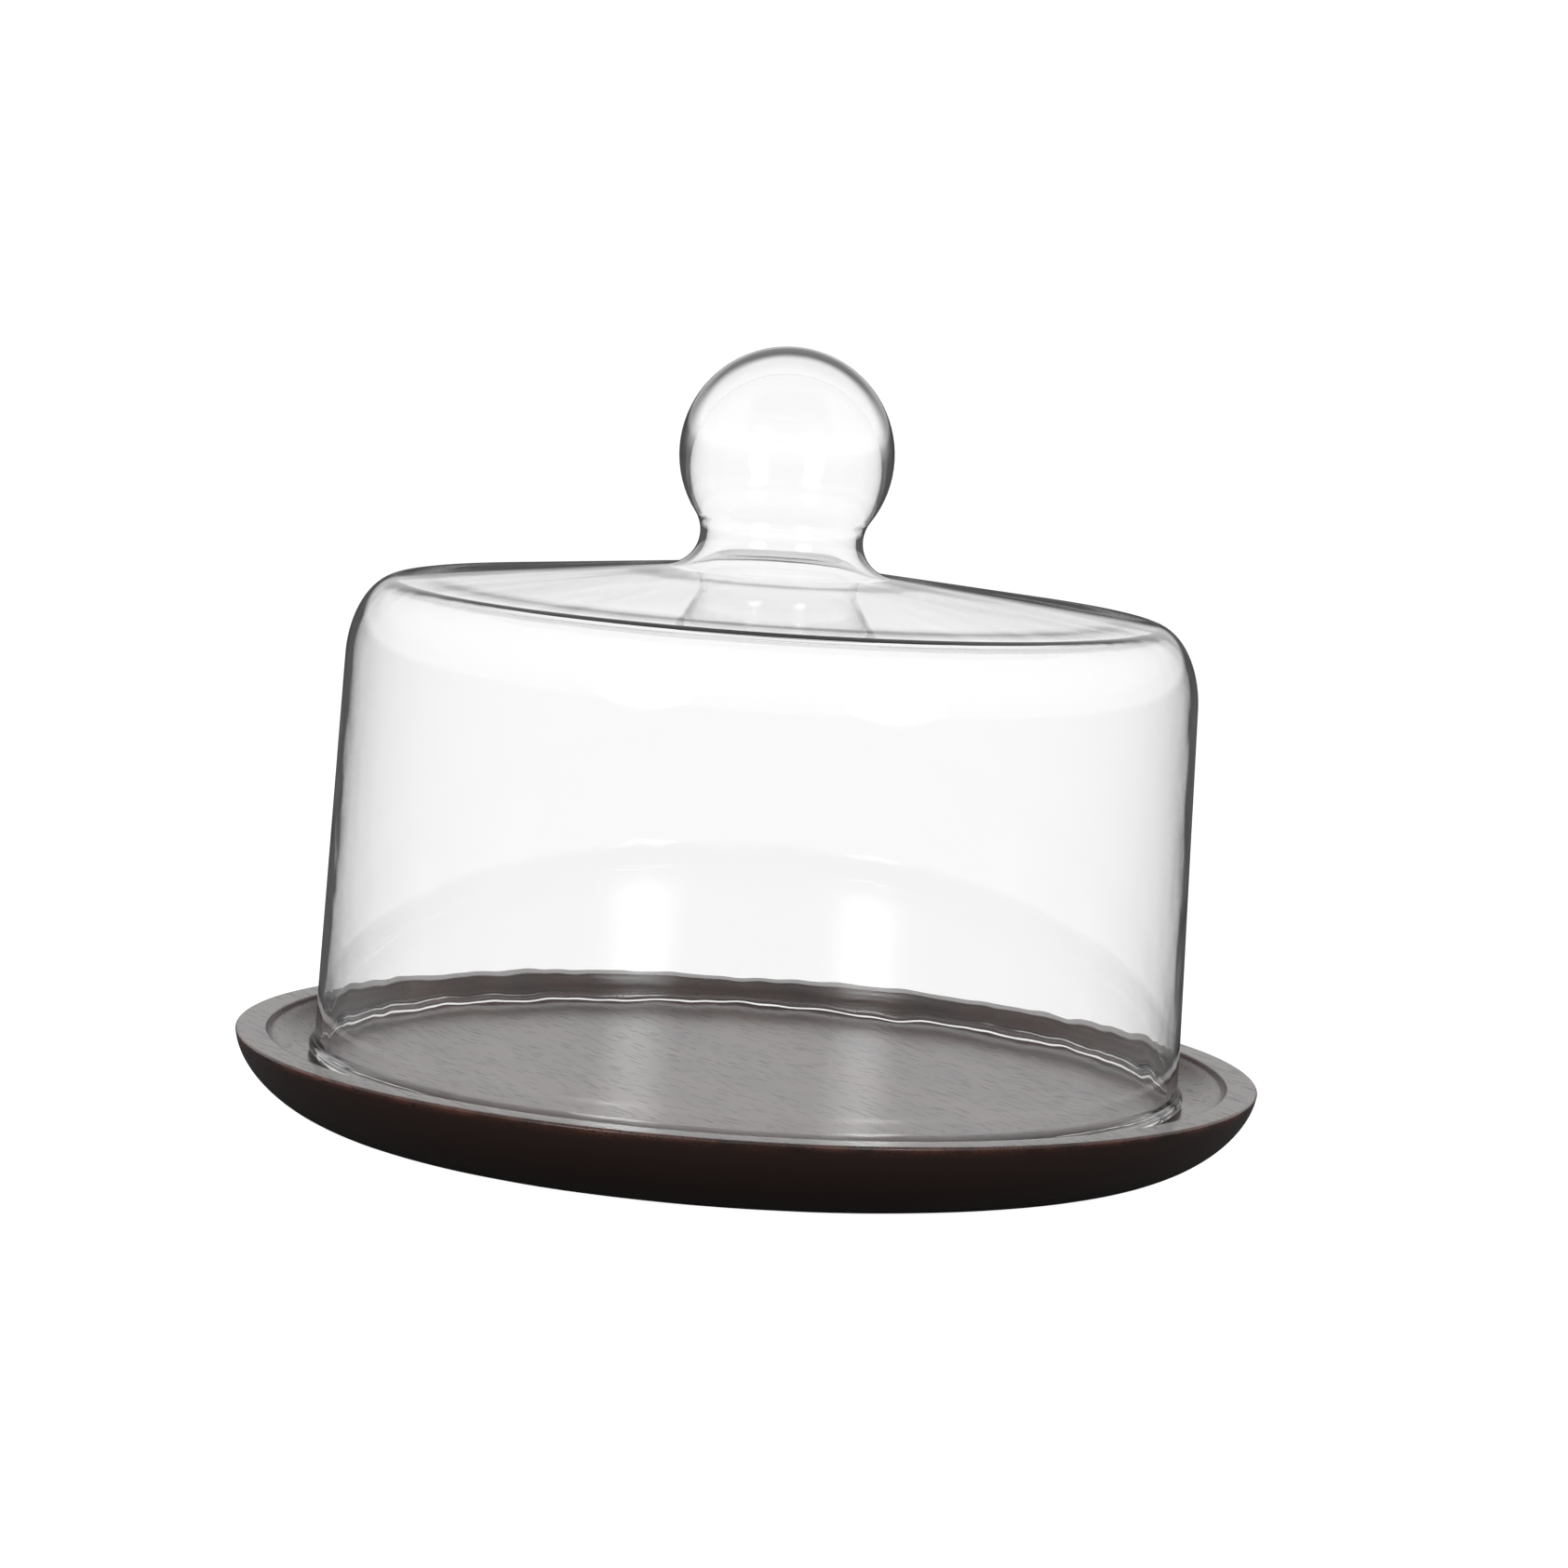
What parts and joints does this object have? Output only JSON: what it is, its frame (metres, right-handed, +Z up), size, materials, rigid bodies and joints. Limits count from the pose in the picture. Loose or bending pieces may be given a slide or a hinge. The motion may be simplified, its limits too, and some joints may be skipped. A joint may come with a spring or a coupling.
{
  "type": "bell jar dome",
  "caption": "Round glass cloche with a hollow ball knob, standing loose in the shallow recess of a round dark wooden tray.",
  "frame": {"origin": "centre of the tray's flat underside, on the axis of both pieces", "axes": "+Z up along the turned axis, through the knob; -Y faces the viewer, and the tray's grain runs 56 degrees clockwise from +X, seen from above"},
  "size_m": [0.226, 0.226, 0.174],
  "materials": {
    "stained_wood": "dark walnut stain under a thin satin lacquer, open pores",
    "clear_glass": "clear blown glass, fire polished"
  },
  "bodies": {
    "tray": {"wood_tray": "stained_wood"},
    "dome": {"glass_dome": "clear_glass"}
  },
  "joints": [
    {"name": "dome_lift", "type": "slide", "parent": "tray", "child": "dome", "axis": [0, 0, 1], "range_m": [0, 0.12]}
  ]
}
